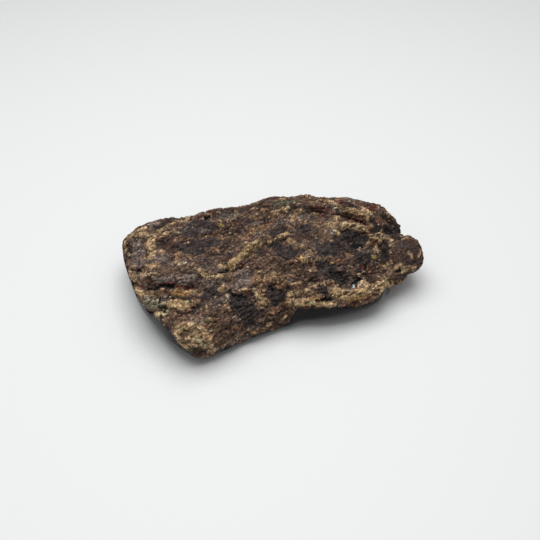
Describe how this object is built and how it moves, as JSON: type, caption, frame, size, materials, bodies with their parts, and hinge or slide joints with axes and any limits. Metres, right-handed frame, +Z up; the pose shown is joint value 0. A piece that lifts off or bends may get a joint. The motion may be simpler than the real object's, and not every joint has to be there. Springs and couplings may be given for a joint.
{
  "type": "raw amber piece",
  "caption": "Rough slab of raw amber: a lumpy, pitted crust over a smooth, polished underside that it rests on, with a raised knob at one end.",
  "frame": {"origin": "centre of the piece's bounding box in plan, on the plane it rests on", "axes": "+X along the length towards the knob, +Y from the low front edge towards the higher back edge, +Z up out of the crust"},
  "size_m": [0.0988, 0.0597, 0.0231],
  "materials": {
    "amber": "rough granular crust, polished dark amber underneath"
  },
  "bodies": {
    "root": {"amber": "amber"}
  },
  "joints": []
}
